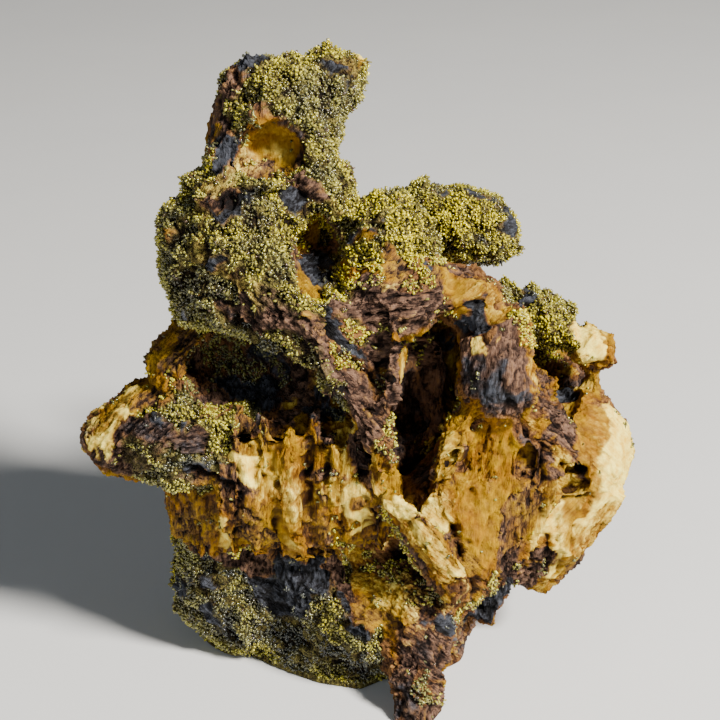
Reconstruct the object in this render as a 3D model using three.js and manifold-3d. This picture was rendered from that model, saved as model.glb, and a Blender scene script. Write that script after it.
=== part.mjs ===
// Pyromorphite specimen: a druse of small yellow-green crystals, grown on a craggy block of gossan.
// Millimetres, +Z up. The origin is in the middle of the broken flat underside that the block
// rests on, and -Y is the side with the caves, the fluted band and the blade.
import * as THREE from "three";
import { ImprovedNoise } from "three/addons/math/ImprovedNoise.js";
import { mergeVertices } from "three/addons/utils/BufferGeometryUtils.js";
import Module from "manifold-3d";

const wasm = await Module();
wasm.setup();

// Driving dimensions
const FACET = 6; // edge of a facet on the rough rock
const CRUST = 1.5; // height of the crystal druse above the rock
const GAP = 0.3; // clearance between the druse and the rock that it grew on
const COARSE_CRAG = { size: 13, height: 3.4 }; // waves of the broken surface
const FINE_CRAG = { size: 5, height: 1.3 };
const FLUTE = { foot: 27, lean: 1.5, footDepth: 17, topDepth: 19, thick: 4.2 };
const WELD = 1e-3;

const noise = new ImprovedNoise();

// A smooth random offset at a place, so that neighbouring lumps are roughened alike where they meet.
function crag(p, rough) {
  const offset = new THREE.Vector3();
  for (const { size, height } of [COARSE_CRAG, FINE_CRAG]) {
    const [x, y, z] = [p.x / size, p.y / size, p.z / size];
    offset.x += height * noise.noise(x + 31.7, y, z);
    offset.y += height * noise.noise(x, y + 57.1, z);
    offset.z += height * noise.noise(x, y, z + 83.3);
  }
  return offset.multiplyScalar(rough);
}

// A closed geometry as a solid, with its shared vertices merged.
function solidOf(geometry) {
  geometry.deleteAttribute("normal");
  geometry.deleteAttribute("uv");
  const welded = mergeVertices(geometry, WELD);
  return new wasm.Manifold(
    new wasm.Mesh({
      numProp: 3,
      vertProperties: welded.attributes.position.array,
      triVerts: new Uint32Array(welded.index.array),
    }),
  );
}

// One rough lump: a ball pushed towards a block, stretched, turned, put in its place and roughened.
function lump({ at, half, turn = [0, 0, 0], block = 0.25, rough = 1 }, grow = 0) {
  const bareHalf = new THREE.Vector3(...half);
  const grownHalf = bareHalf.clone().addScalar(grow);
  const edge = 1.05 * Math.cbrt(half[0] * half[1] * half[2]); // of a twenty-sided ball of this size
  const detail = Math.max(0, Math.round(edge / FACET) - 1);
  const geometry = new THREE.IcosahedronGeometry(1, detail);
  const turned = new THREE.Euler(...turn.map(THREE.MathUtils.degToRad));
  const middle = new THREE.Vector3(...at);
  const place = geometry.attributes.position;
  const p = new THREE.Vector3();
  for (let i = 0; i < place.count; i++) {
    p.fromBufferAttribute(place, i);
    const widest = Math.max(Math.abs(p.x), Math.abs(p.y), Math.abs(p.z));
    p.multiplyScalar(1 + block * (1 / widest - 1));
    const bare = p.clone().multiply(bareHalf).applyEuler(turned).add(middle);
    p.multiply(grownHalf).applyEuler(turned).add(middle);
    p.add(crag(bare, rough));
    place.setXYZ(i, p.x, p.y, p.z);
  }
  return solidOf(geometry);
}

// A lump that runs from one place to another, such as a ridge, a flute or a limb.
function ridge({ from, to, wide, thick = wide, face = 0, block = 0.1, rough = 0.6 }, grow = 0) {
  const a = new THREE.Vector3(...from);
  const b = new THREE.Vector3(...to);
  const along = b.clone().sub(a);
  const turn = new THREE.Quaternion().setFromUnitVectors(
    new THREE.Vector3(0, 0, 1),
    along.clone().normalize(),
  );
  const twist = new THREE.Quaternion().setFromAxisAngle(
    new THREE.Vector3(0, 0, 1),
    THREE.MathUtils.degToRad(face),
  );
  const euler = new THREE.Euler().setFromQuaternion(turn.multiply(twist));
  return lump(
    {
      at: a.add(b).multiplyScalar(0.5).toArray(),
      half: [wide, thick, along.length() / 2],
      turn: [euler.x, euler.y, euler.z].map(THREE.MathUtils.radToDeg),
      block,
      rough,
    },
    grow,
  );
}

const shape = (form, grow) => (form.from ? ridge(form, grow) : lump(form, grow));
const join = (solids) => solids.reduce((whole, next) => whole.add(next));

// The rock's own forms, from the underside up. Those marked with a crust are overgrown by that
// patch of the druse.
const rock = [
  // block
  { at: [-2, 6, 14], half: [30, 18, 17], turn: [0, 0, -43], block: 0.5 },
  { at: [-4, 6, 35], half: [31, 20, 23], block: 0.6 },
  { at: [-9, -11.5, 41], half: [18, 9, 17], block: 0.6, rough: 0.5 },
  { at: [-26, -5, 38], half: [12, 13, 15], block: 0.5 },
  { at: [-5, 5, 60], half: [23, 15, 16], block: 0.4 },
  { at: [10, 14, 56], half: [17, 14, 15], block: 0.5 },
  { at: [-17, 22, 56], half: [15, 10, 18], block: 0.4, rough: 1.4 },
  { at: [17, 24, 38], half: [18, 9, 17], block: 0.4, rough: 1.4 },
  // foot and tip
  { at: [-13, -2, 14], half: [27, 10, 15], turn: [16, 8, -38], block: 0.6, crust: "foot" },
  { at: [-24.5, -1, 16.5], half: [12, 12, 14.5], turn: [10, 0, -10], block: 0.5, crust: "foot" },
  { at: [9, -17, 14], half: [10, 9, 13], turn: [0, 0, -20], block: 0.4 },
  { from: [9, -20, 18], to: [11.5, -30, -5], wide: 6, thick: 6, block: 0.4 },
  // cheek, blade and skirt
  { at: [24, -2, 34], half: [14, 14, 27], turn: [0, 22, 0], block: 0.45, rough: 0.8 },
  { at: [18, -12, 30], half: [11, 10, 17], turn: [0, 12, 0], block: 0.3 },
  { from: [13, -17, 44], to: [21, -12, 59], wide: 4.5, thick: 6, block: 0.3 },
  { from: [4, -23, 49], to: [20, -26, 22], wide: 8, thick: 4, face: 25, block: 0.3 },
  { at: [36.5, 5.5, 27.5], half: [12, 15, 17.5], turn: [0, 32, 0], block: 0.35 },
  { at: [43, 4, 41], half: [11, 13, 13], block: 0.15, rough: 0.5 },
  // arm
  { from: [-22, -4, 55], to: [-53, -5, 45.5], wide: 9.5, thick: 11, block: 0.25 },
  { at: [-30.5, -2, 58.5], half: [9.5, 10, 13], block: 0.3 },
  { at: [-31, -11, 51], half: [13, 9, 8], turn: [0, -14, 0], block: 0.3, crust: "arm" },
  // middle face, fin and bulge
  { at: [5, -7, 79], half: [11, 11, 9], block: 0.45 },
  { from: [4, -13, 84], to: [5.5, -23, 48], wide: 3, thick: 6, block: 0.3 },
  { at: [19, -5, 78], half: [9, 9, 6], turn: [0, 10, 0], block: 0.5 },
  { at: [25, -9, 66], half: [8, 11, 12], block: 0.4, rough: 0.7 },
  // knob
  { from: [4, 2, 74], to: [4.5, -5, 96], wide: 9, thick: 8, crust: "crown" },
  // shoulder and strap
  { at: [-20, -3, 84], half: [14, 14, 13], block: 0.45, crust: "crown" },
  { at: [-31, -3, 83], half: [6, 9, 12], block: 0.35, crust: "crown" },
  { from: [-26, -10, 90], to: [5, -20, 60], wide: 8, thick: 6, block: 0.3, crust: "crown" },
  { from: [-3, -19, 72], to: [6, -24, 50], wide: 4.5, thick: 5, block: 0.3 },
  // neck, brow and spire
  { at: [-8, 0, 96], half: [8, 8, 8], block: 0.3, crust: "crown" },
  { at: [-22, -3, 99], half: [11, 8, 4], turn: [0, -12, 0], crust: "crown" },
  { at: [-14, 5, 107], half: [12, 9, 13], turn: [0, 6, 0], block: 0.4, crust: "crown" },
  { at: [-6.5, 7, 114.5], half: [7, 8, 7], block: 0.2, crust: "crown" },
  { at: [-21.5, 3, 103], half: [8.5, 9, 11], block: 0.3 },
  // lobe behind, to the right
  { from: [6, 12, 62], to: [14, 27, 79], wide: 7 },
  { at: [20, 28, 78.2], half: [12, 8, 8], crust: "lobe" },
  { at: [7, 26, 82], half: [6, 6, 5], crust: "lobe" },
  { at: [14, 28, 85], half: [4, 4, 4], crust: "lobe" },
  // knuckle over the arch
  { at: [34, 13, 64], half: [8.5, 9, 6.5], crust: "knuckle" },
  { at: [44.3, 8, 61], half: [6.4, 6.5, 6], rough: 0.4 },
  { from: [44, 9, 60], to: [46, 7, 44], wide: 3.3 },
  { from: [28, 14, 60], to: [28.5, 15, 73], wide: 3, crust: "knuckle" },
  { at: [37, 20, 46], half: [11, 8, 11], block: 0.3 },
];

// The columns of the fluted band: where each stands, how wide it is, how far it stands out and
// how high it reaches.
const flutes = [
  { x: -25, wide: 3, out: 0, top: 54 },
  { x: -21.5, wide: 3.4, out: 0.8, top: 58 },
  { x: -17.5, wide: 3, out: 0.1, top: 61 },
  { x: -13.5, wide: 3.6, out: 1.2, top: 59 },
  { x: -9.5, wide: 3, out: 0.3, top: 62 },
  { x: -5.5, wide: 3.3, out: 1, top: 57 },
  { x: -2, wide: 2.9, out: 0.5, top: 59 },
  { x: 2, wide: 3.1, out: 1.1, top: 55 },
].map(({ x, wide, out, top }) => ({
  from: [x + FLUTE.lean, -FLUTE.footDepth - out, FLUTE.foot],
  to: [x, -FLUTE.topDepth - out, top],
  wide,
  thick: FLUTE.thick,
  block: 0.5,
  rough: 0.8,
}));

// Caves, pits and slots. The last three are in the back.
const hollows = [
  { at: [10.5, -14, 58], half: [4.5, 13, 14], block: 0.4 },
  { at: [-15.5, -5, 105], half: [6, 6, 6] },
  { at: [-8.2, -9, 86.5], half: [4.3, 13, 6.8] },
  { at: [-20.5, -15, 65], half: [13.5, 18, 7], block: 0.4 },
  { at: [38, 2, 54], half: [4, 9, 3.4] },
  { at: [40, -9, 42], half: [4, 6, 5] },
  { at: [31, -16, 47], half: [2, 6, 5] },
  { at: [18, -22, 50], half: [2.4, 6, 2.6] },
  { from: [-4, -19, 86], to: [4, -23, 62], wide: 3.3, thick: 8 },
  { at: [2, 31, 60], half: [6, 6, 11] },
  { at: [-24, 30, 34], half: [8, 5, 6] },
  { from: [25, 35, 52], to: [8, 34, 26], wide: 3, thick: 5 },
];

// The rock with all its forms grown by an amount, and its hollows narrowed by the same.
function rockSolid(grow) {
  const mass = join([...rock, ...flutes].map((form) => shape(form, grow)));
  return mass.subtract(join(hollows.map((form) => shape(form, -grow))));
}

// All that lies under the flat break.
const below = solidOf(new THREE.BoxGeometry(400, 400, 100).translate(0, 0, -50));

// The outer shell of the biggest piece: loose crumbs and sealed cavities are left out.
const biggest = (solid) =>
  solid.decompose().reduce((a, b) => (a.volume() > b.volume() ? a : b));

const bareRock = biggest(rockSolid(0));
const matrix = biggest(bareRock.subtract(below));
const hull = rockSolid(GAP).add(bareRock);
const caves = join(hollows.map((form) => shape(form, 0)));

// One patch of the druse: a skin over its lumps of rock, open where a cave or pit breaks through it.
function crustSolid(patch) {
  const overgrown = rock.filter((form) => form.crust === patch);
  const grown = join(overgrown.map((form) => shape(form, CRUST)));
  return biggest(grown.subtract(hull).subtract(caves).subtract(below));
}

function meshOf(name, solid, look) {
  const made = solid.getMesh();
  const geometry = new THREE.BufferGeometry();
  geometry.setAttribute("position", new THREE.BufferAttribute(made.vertProperties, 3));
  geometry.setIndex(new THREE.BufferAttribute(made.triVerts, 1));
  geometry.computeVertexNormals();
  const mesh = new THREE.Mesh(geometry, new THREE.MeshStandardMaterial(look));
  mesh.name = name;
  return mesh;
}

const gossan = { color: 0x9a6224, roughness: 0.75 };
const pyromorphite = { color: 0x8f8a24, roughness: 0.35 };

const specimen = new THREE.Group();
specimen.add(meshOf("matrix", matrix, gossan));
for (const patch of ["crown", "lobe", "knuckle", "arm", "foot"]) {
  specimen.add(meshOf("crust_" + patch, crustSolid(patch), pyromorphite));
}
export default specimen;
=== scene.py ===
"""Looks of the pyromorphite specimen: a craggy block of gossan under a druse of yellow-green crystals.

The rock is one closed skin remeshed from the block and its crusts, then splintered, cracked and grained. The
druse is thousands of six-sided crystals that stand on it. Places on the front are pixels of the 720 by 720
photograph, each carried on to the rock along its line of sight. Lengths are in millimetres until a mesh is
finished.
"""

import math

import bmesh
import bpy
import numpy as np
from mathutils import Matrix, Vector, noise
from mathutils.bvhtree import BVHTree


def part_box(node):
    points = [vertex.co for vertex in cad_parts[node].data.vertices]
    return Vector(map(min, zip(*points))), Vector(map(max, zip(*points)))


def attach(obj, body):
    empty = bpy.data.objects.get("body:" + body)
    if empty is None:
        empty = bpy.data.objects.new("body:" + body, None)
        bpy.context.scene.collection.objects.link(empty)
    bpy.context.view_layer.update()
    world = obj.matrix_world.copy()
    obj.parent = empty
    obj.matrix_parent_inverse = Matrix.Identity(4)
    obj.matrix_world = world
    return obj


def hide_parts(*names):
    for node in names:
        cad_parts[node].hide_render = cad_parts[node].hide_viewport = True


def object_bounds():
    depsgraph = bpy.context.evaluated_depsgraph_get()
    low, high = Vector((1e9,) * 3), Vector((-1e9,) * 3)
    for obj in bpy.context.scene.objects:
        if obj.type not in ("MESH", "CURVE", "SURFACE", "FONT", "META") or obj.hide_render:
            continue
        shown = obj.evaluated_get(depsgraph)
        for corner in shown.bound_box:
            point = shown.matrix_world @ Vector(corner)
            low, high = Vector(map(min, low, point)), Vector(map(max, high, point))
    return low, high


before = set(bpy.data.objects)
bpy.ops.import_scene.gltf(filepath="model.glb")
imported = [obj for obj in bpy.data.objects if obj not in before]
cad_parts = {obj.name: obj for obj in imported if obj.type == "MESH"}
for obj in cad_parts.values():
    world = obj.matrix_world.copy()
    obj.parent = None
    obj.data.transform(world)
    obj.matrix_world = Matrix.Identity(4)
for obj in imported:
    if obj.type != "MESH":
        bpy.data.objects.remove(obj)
cad_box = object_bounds()

MM = 0.001

# The photograph's view
PHOTO_SIZE = 720
PIXEL = 0.19  # width of a pixel at the specimen
LENS, SENSOR = 90, 36
VIEW_HEIGHT, VIEW_DISTANCE, VIEW_ELEVATION = 62, 342, math.radians(25)

# The studio: each light's place, size, power and colour, in metres and watts
KEY = ((0.54, -0.46, 0.70), 0.20, 34, (1.0, 0.96, 0.90))
FILL = ((-0.5, -0.8, 0.45), 0.8, 2.5, (0.8, 0.9, 1.0))
SKY, SKY_STRENGTH = (0.9, 0.95, 1.0, 1), 0.11
FLOOR = 3  # half the floor's width, in metres

# The rock's skin
GRID = 0.42  # spacing of its points
WELD = 0.01  # points closer than this are made one
DEEPEST, PROUDEST = -3.4, 0.8  # how far the relief may cut into the skin and stand out from it
FADE = (0.2, 1.6)  # heights over which the relief sets in above the flat underside
CUTS = (30, 55, 78)  # heights at which the rock is parted into pieces
ROCK = ("gossan_foot", "gossan_waist", "gossan_chest", "gossan_head")
CAP_INSET = 2.2  # how far the flat end of a piece starts inside the skin
FAR = 9.0  # a distance beyond the reach of any crust or crease
CRUST_REACH, CRUST_EDGE = 3.0, (0.6, 1.5)  # how far a crust is looked for, and where its druse thins out
CREASE_STEP = 8  # pixels from one of a crease's points to the next
JUMP = 4  # a crease is broken where the sight line jumps by more from one of its points to the next

# The grains of the relief, which run along the rock: the length and width of each, then the octaves of detail,
# which shards and chips lack, and a shift of the noise
FLUTES = (15, 2.8, 2)
SHARDS = (9, 2.1)
CHIPS = (3.2, 0.9, 19)
THREADS = (6, 0.75, 3, 23)
SLITS = (12, 1.9, 2, 37)
CRACK = 0.08  # share of the noise's swing that a crack takes up
GROOVE = 0.16  # width of the groove between splinters, as a share of a splinter
HALF = Vector((0.5, 0.5, 0.5))  # middle of the range of a splinter's random vector
CRAG, KNOB, HUMP = 6.5, 2.4, 3.8  # widths of crags, of knobs on sooty rock and of humps in the druse's bed

# The waves that bend stains, grains, creases and humps: the size and height of each
STAIN_WAVES = ((9, 3.0), (2.5, 1.4))
GRAIN_WAVES = ((9, 1.4), (2.5, 0.35))
CREASE_WAVES = ((3, 0.7),)
HUMP_WAVES = ((4, 0.8),)

# The druse
BED = -0.85  # height of its bed, below the tips of its crystals
SPACING = 0.55  # width of the cells that hold one crystal each
TRIES = 3  # random places for each place that is kept
WIDTH, LENGTH = (0.22, 0.50), (0.55, 1.2)
STANDING = 0.62  # share of a crystal's length above its bed
LEAN = 0.8  # how far crystals lean at random
THINNEST = 0.49  # how thick the druse must be for a crystal to grow
LOWEST = 0.9  # no crystal grows below this height
MOST = 9500  # crystals in one piece
CLUMP, PATCH = 2.2, 6  # widths of the clumps and patches that the crystals stand in
TONE_PATCH = 2.6  # width of a patch of crystals alike in tone
CARRIED = ["lemon", "soot_and_shade", "open"]  # traits of the rock that its crystals take over

# Strokes and traits
FAINT = 0.01  # weight of the rock's own noise beside the strokes
CLOUD, STREAK, TURN = 14, (26, 8), 30  # sizes of that noise
BARE_SIDE = (-30, -12)  # its patches of druse on bare rock set in from x = 30 to x = 12, leftwards
BRUSH = 1.2  # how far a stroke reaches, as a share of its radius
BRUSH_END = 3.5  # where it is cut off, as a share of its reach
RUNS = {"upright": (0.05, 0.1, 1), "falling": (1, 0.2, -1), "rising": (1, 0.2, 1), "level": (1, 0, 0.15)}
STROKED = ["ochre", "cream", "umber", "soot_and_shade", "druse", "lemon", "even"]
TRAITS = STROKED + list(RUNS)

# The dark and light tones of each stain, the crystals and the floor, and the single colours they turn to
BARE = (0.085, 0.034, 0.012), (0.26, 0.12, 0.035)
ORANGE = (0.11, 0.040, 0.001), (0.31, 0.135, 0.001)
YELLOW = (0.16, 0.078, 0.001), (0.36, 0.202, 0.001)
UMBER = (0.024, 0.011, 0.007), (0.20, 0.112, 0.072)
CREAM = (0.60, 0.33, 0.010), (0.95, 0.80, 0.18)
# black rock, and painted shade: bluish where the front lies in shadow
SOOT_AND_SHADE_TONES = (0.006, 0.006, 0.007), (0.058, 0.062, 0.076)
SPROUTS = (0.018, 0.014, 0.004), (0.24, 0.20, 0.05)
# the grooves' own brown stain and painted shade in them
GROOVE_STAIN_AND_SHADE = (0.20, 0.11, 0.07), (0.74, 0.46, 0.14)
# painted shade in the deepest pits of the relief
PAINTED_PIT_SHADE = (0.12, 0.07, 0.05)
OLIVE = (0.014, 0.013, 0.003), (0.47, 0.44, 0.085)
LEMON = (0.06, 0.046, 0.001), (0.95, 0.80, 0.012)
RUSTY = (0.09, 0.045, 0.018)
# painted shade at the root of each crystal
PAINTED_ROOT_SHADE = (0.04, 0.032, 0.008)
# painted shade on crystals deep in the relief
SHADED = (0.05, 0.04, 0.012)
# crystals on black rock, and painted shade on crystals, bluish, where the strokes mark shadow
SOOTED_AND_SHADED = (0.032, 0.038, 0.048)
PALE = (0.60, 0.60, 0.59), (0.64, 0.64, 0.63)

# Grain sizes of the shared mottle
EARTH, BROAD_EARTH, CRYSTAL_GRAIN, FLOOR_GRAIN = 2.2, 7, 0.5, 40
THREAD, FLAKE = (3.2, 0.42), (1.8, 0.6)  # length and width of the rock's strands and flakes
SPROUT = 0.42  # width of a budding crystal in the bed
BUMP = 0.6  # height of the finest grain

# What a stretch of the front is like. ochre, cream and umber are stains of the rock; soot is black rock and
# also painted shade, dark and bluish where the front lies in shadow; druse is how thick the crystals stand on
# it, lemon how yellow they are, partly their own colour and partly painted light where crystals stand lit, and
# even how smooth the rock is. The black finish is black rock and painted shadow, the shaded finish painted
# shade on the druse.
FINISHES = {
    "mustard": dict(ochre=1),
    "gold": dict(ochre=1, even=0.5),
    "honey": dict(ochre=0.8, cream=0.3, even=0.6),
    "buff": dict(ochre=0.65, cream=0.42),
    "cream": dict(ochre=0.3, cream=0.95, even=0.4),
    "clotted cream": dict(ochre=0.3, cream=0.95, even=0.9),
    "tan": dict(ochre=0.6, umber=0.5, even=0.5),
    "stained": dict(ochre=0.3, umber=0.9, even=0.8),
    "smoky": dict(ochre=0.15, umber=0.8, soot_and_shade=0.75, even=0.9),
    "rust": dict(ochre=0.6, umber=0.6),
    "brown": dict(umber=1),
    "iron": dict(umber=0.7, soot_and_shade=0.6),
    "slate": dict(soot_and_shade=1, even=0.5),
    # black rock, and painted shadow under ledges, in grooves, holes and caves
    "black": dict(soot_and_shade=1, druse=0.08),
    "rimed": dict(umber=0.45, cream=0.55, druse=0.42, lemon=0.35),
    "sparse": dict(umber=1, druse=0.38, lemon=0.2),
    "gilded": dict(ochre=0.7, umber=0.3, druse=0.7, lemon=0.95),
    "shaded": dict(soot_and_shade=0.9, druse=0.52, lemon=0.15),
    "olive": dict(soot_and_shade=0.4, druse=0.76, lemon=0.15),
    "green": dict(umber=0.3, druse=0.86, lemon=0.55),
    "lemon": dict(ochre=0.3, druse=1, lemon=1),
}

# The front, form by form: the run of its fibres, and strokes of a finish, each with its radius and its course
# in pixels
FRONT = {}
FRONT["spire"] = "upright", [
    ("honey", 7, (255, 152), (272, 148), (286, 158)),
    ("cream", 4, (264, 154), (278, 154)),
    ("honey", 8, (257, 122), (268, 135), (285, 140)),
    ("rust", 5, (249, 128), (247, 140)),
    ("iron", 4.5, (252, 111), (275, 118), (291, 129)),
    ("iron", 4, (297, 138), (306, 152)),
    ("brown", 7, (232, 70), (223, 88), (214, 104)),
    ("rust", 4, (218, 92), (226, 80)),
    ("iron", 8, (211, 117), (221, 121)),
    ("slate", 9, (238, 60), (262, 54)),
    ("green", 7, (233, 98), (228, 112)),
    ("shaded", 7, (214, 138), (236, 138)),
    ("lemon", 5, (209, 148), (210, 160)),
    ("slate", 8, (224, 154), (237, 152)),
    ("green", 14, (252, 88), (275, 72), (310, 64)),
    ("rimed", 6, (300, 70), (303, 58)),
    ("black", 5, (296, 90)),
    ("cream", 6, (356, 45), (361, 54)),
    ("rimed", 7, (345, 56), (350, 68)),
    ("black", 5, (332, 66), (352, 84)),
    ("rust", 5, (365, 68), (366, 78)),
    ("olive", 14, (318, 92), (300, 104), (345, 116)),
    ("green", 7, (284, 107), (296, 120), (308, 134), (318, 148)),
    ("olive", 12, (335, 150), (330, 172)),
    ("lemon", 5, (322, 100), (338, 130), (346, 160)),
]
FRONT["brow and neck"] = "rising", [
    ("rimed", 9, (192, 196), (206, 186), (225, 171), (246, 167)),
    ("brown", 7, (208, 190), (232, 183)),
    # painted shadow under the brow ledge
    ("black", 7, (212, 198), (236, 190), (262, 190)),
    ("lemon", 7, (284, 178), (276, 192)),
    ("slate", 4, (286, 193)),
    ("black", 8, (299, 204), (304, 214)),
    ("brown", 6, (309, 172), (318, 190), (322, 204)),
    ("rimed", 7, (334, 212), (341, 206)),
    ("green", 6, (330, 184), (340, 194)),
    ("lemon", 7, (288, 216), (290, 238), (303, 230)),
    ("gilded", 7, (310, 222), (318, 234), (308, 244)),
    ("brown", 6, (330, 232), (326, 244)),
    # painted shadow in the deep hole
    ("black", 9, (318, 256), (312, 268)),
    ("lemon", 6, (292, 274), (304, 292), (322, 298)),
]
FRONT["shoulder"] = "falling", [
    ("olive", 13, (170, 212), (180, 235), (168, 262), (175, 285)),
    ("rimed", 10, (190, 214), (196, 240), (172, 250)),
    ("rust", 5, (163, 231)),
    ("green", 12, (216, 222), (250, 228), (275, 222)),
    ("olive", 12, (262, 208), (258, 244), (280, 262)),
    ("slate", 6, (222, 205), (240, 206), (246, 217)),
    ("rust", 5, (272, 243)),
    ("black", 5, (216, 256), (206, 264)),
    ("mustard", 5, (194, 291)),
    ("slate", 5, (182, 316)),
    ("green", 8, (288, 262), (285, 280)),
    ("olive", 11, (205, 290), (190, 305), (212, 322), (240, 345)),
    ("iron", 7, (215, 300), (222, 315)),
    ("shaded", 10, (240, 325), (262, 350), (280, 372)),
]
FRONT["strap"] = "falling", [
    ("green", 5, (222, 262), (248, 266), (262, 275), (282, 290), (302, 300), (318, 308)),
    ("rimed", 9, (225, 276), (243, 288), (252, 304)),
    ("brown", 8, (236, 300), (250, 318), (258, 332)),
    ("brown", 12, (280, 318), (302, 326), (326, 342)),
    ("rust", 7, (314, 318), (330, 334)),
    ("sparse", 9, (268, 306), (290, 312)),
    ("sparse", 10, (298, 350), (318, 358)),
    ("brown", 9, (322, 372), (345, 382), (365, 400)),
    ("rust", 6, (355, 388), (372, 402)),
    ("sparse", 8, (312, 378), (330, 390)),
    # painted light: the strap's lit upper edge, its crystals yellower
    ("lemon", 5.5, (340, 358), (356, 366), (370, 374), (380, 386)),
    ("brown", 7, (292, 372), (290, 398), (286, 418)),
    ("brown", 9, (350, 408), (366, 420), (362, 440)),
    ("green", 6.5, (388, 412), (392, 436), (390, 455)),
]
FRONT["groove"] = "falling", [
    # painted shadow in the groove
    ("black", 7, (328, 305), (340, 325), (352, 348)),
    ("lemon", 5, (318, 302), (326, 316)),
    ("lemon", 6, (352, 316), (360, 332), (366, 346)),
    ("brown", 6, (342, 302), (364, 324), (385, 345)),
    ("black", 6, (368, 362), (375, 380)),
]
FRONT["knob"] = "rising", [
    ("slate", 5, (388, 212), (374, 226), (392, 240), (346, 238)),
    ("lemon", 6, (366, 222), (384, 230), (404, 240)),
    ("lemon", 6, (400, 222), (414, 244), (424, 262), (432, 276)),
    ("mustard", 6, (360, 242), (372, 248)),
    ("gilded", 8, (348, 258), (362, 262), (380, 256)),
    ("lemon", 6, (338, 270), (345, 282)),
    ("rust", 6, (392, 264), (400, 256)),
    ("rimed", 7, (378, 280), (392, 278)),
    ("sparse", 8, (360, 288), (385, 296)),
    ("slate", 5, (433, 261)),
    ("green", 7, (404, 276), (424, 284)),
    ("rust", 5, (432, 272), (446, 276)),
]
FRONT["face under the knob"] = "level", [
    ("brown", 12, (362, 306), (392, 312), (432, 300)),
    ("brown", 10, (408, 322), (432, 318)),
    ("rust", 6, (385, 322), (410, 312)),
    ("sparse", 9, (372, 326), (388, 346)),
    ("brown", 7, (380, 346), (392, 372), (396, 392)),
    ("sparse", 8, (410, 342), (434, 340), (430, 356)),
    ("lemon", 6, (441, 304), (438, 316)),
]
FRONT["lobe"] = "level", [
    ("lemon", 13, (385, 202), (402, 206), (425, 216), (455, 206), (482, 216)),
    ("lemon", 12, (430, 234), (458, 232), (500, 222)),
    ("slate", 5, (448, 181), (455, 187)),
    ("slate", 6, (482, 194)),
    ("slate", 7, (510, 209), (518, 222)),
    ("shaded", 6, (475, 241), (488, 244)),
    ("slate", 4, (501, 238)),
    ("green", 8, (440, 254), (470, 257), (500, 250)),
]
FRONT["knuckle"] = "rising", [
    ("olive", 6, (503, 284), (508, 298)),
    ("slate", 5, (521, 290), (522, 302)),
    ("lemon", 11, (520, 318), (545, 335), (545, 358)),
    ("lemon", 8, (560, 332), (566, 345)),
    ("green", 6, (562, 318), (578, 315)),
    ("cream", 9, (588, 328), (597, 344)),
    ("rimed", 4.5, (583, 356), (596, 360)),
    ("buff", 6, (560, 368), (578, 370)),
    ("buff", 5, (590, 372), (592, 386)),
    ("iron", 5, (548, 386), (556, 392)),
    ("black", 6, (572, 387)),
]
FRONT["orange block"] = "rising", [
    ("honey", 9, (455, 286), (480, 292), (462, 303)),
    ("buff", 6, (472, 286), (490, 296)),
    ("buff", 4, (495, 304), (498, 318)),
    ("rust", 6, (448, 296), (452, 308)),
    ("slate", 4, (448, 330), (468, 320), (486, 308)),
]
FRONT["bulge"] = "upright", [
    ("clotted cream", 4, (478, 334), (484, 344)),
    ("stained", 8, (458, 342), (462, 354)),
    ("stained", 8, (500, 326), (518, 336)),
    ("buff", 4, (532, 350), (537, 368), (538, 386)),
    ("stained", 9, (496, 348), (516, 356), (522, 376)),
    ("smoky", 8, (504, 366), (512, 384)),
    ("smoky", 9, (464, 362), (480, 368), (496, 380)),
    ("smoky", 7, (488, 388), (498, 404)),
    ("smoky", 7, (516, 396), (528, 398)),
    ("stained", 6, (508, 412), (522, 410)),
    ("stained", 7, (512, 340), (526, 358), (530, 380)),
    ("iron", 6, (486, 420), (492, 414)),
    ("sparse", 5, (464, 388)),
    ("brown", 5, (460, 402)),
    ("black", 4, (446, 340), (450, 352)),
]
FRONT["deep cave"] = "upright", [
    ("iron", 11, (412, 380), (415, 420), (405, 450)),
    ("brown", 9, (440, 366), (436, 392), (426, 414)),
    ("rust", 6, (446, 380), (440, 404)),
]
FRONT["lip of the deep cave"] = "rising", [
    ("mustard", 7, (472, 404), (456, 430)),
    ("buff", 6, (444, 444), (446, 468), (438, 482)),
    ("rimed", 5, (430, 434), (420, 450)),
    ("iron", 5, (424, 468), (436, 458)),
    ("mustard", 6, (402, 462), (406, 484)),
    ("green", 5, (416, 442)),
]
FRONT["panel"] = "upright", [
    ("gold", 9, (488, 424), (500, 440)),
    ("gold", 10, (500, 456), (506, 484), (496, 512), (486, 545)),
    ("gold", 10, (466, 492), (472, 520), (484, 556)),
    ("mustard", 7, (470, 444), (480, 462)),
    ("buff", 5, (456, 480), (462, 508)),
    ("iron", 4, (459, 448)),
    ("tan", 7, (522, 462), (516, 484)),
    ("rust", 7, (530, 480), (536, 504)),
    ("tan", 8, (524, 522), (516, 546)),
    ("brown", 7, (540, 560), (536, 576)),
    ("iron", 5, (532, 432), (538, 458)),
    ("mustard", 4.5, (546, 428), (549, 452)),
    ("buff", 5, (545, 476), (543, 504)),
    ("sparse", 8, (514, 562), (522, 580)),
    ("green", 5, (496, 578), (490, 598)),
    ("black", 6, (506, 592), (490, 610), (476, 618)),
]
FRONT["right bulge"] = "falling", [
    ("cream", 9, (612, 408), (622, 430), (622, 462)),
    ("cream", 13, (630, 440), (629, 460), (616, 488)),
    ("honey", 8, (598, 466), (600, 490)),
    ("honey", 10, (572, 402), (588, 412), (592, 444)),
    ("mustard", 6, (574, 408), (586, 432)),
    ("brown", 7, (552, 410), (558, 430), (574, 444)),
    ("sparse", 5, (566, 424)),
    ("buff", 8, (562, 458), (566, 480), (580, 492)),
    ("iron", 5, (576, 463), (584, 476)),
    ("buff", 8, (568, 498), (590, 502)),
    ("brown", 5, (550, 448), (550, 486)),
]
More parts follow.
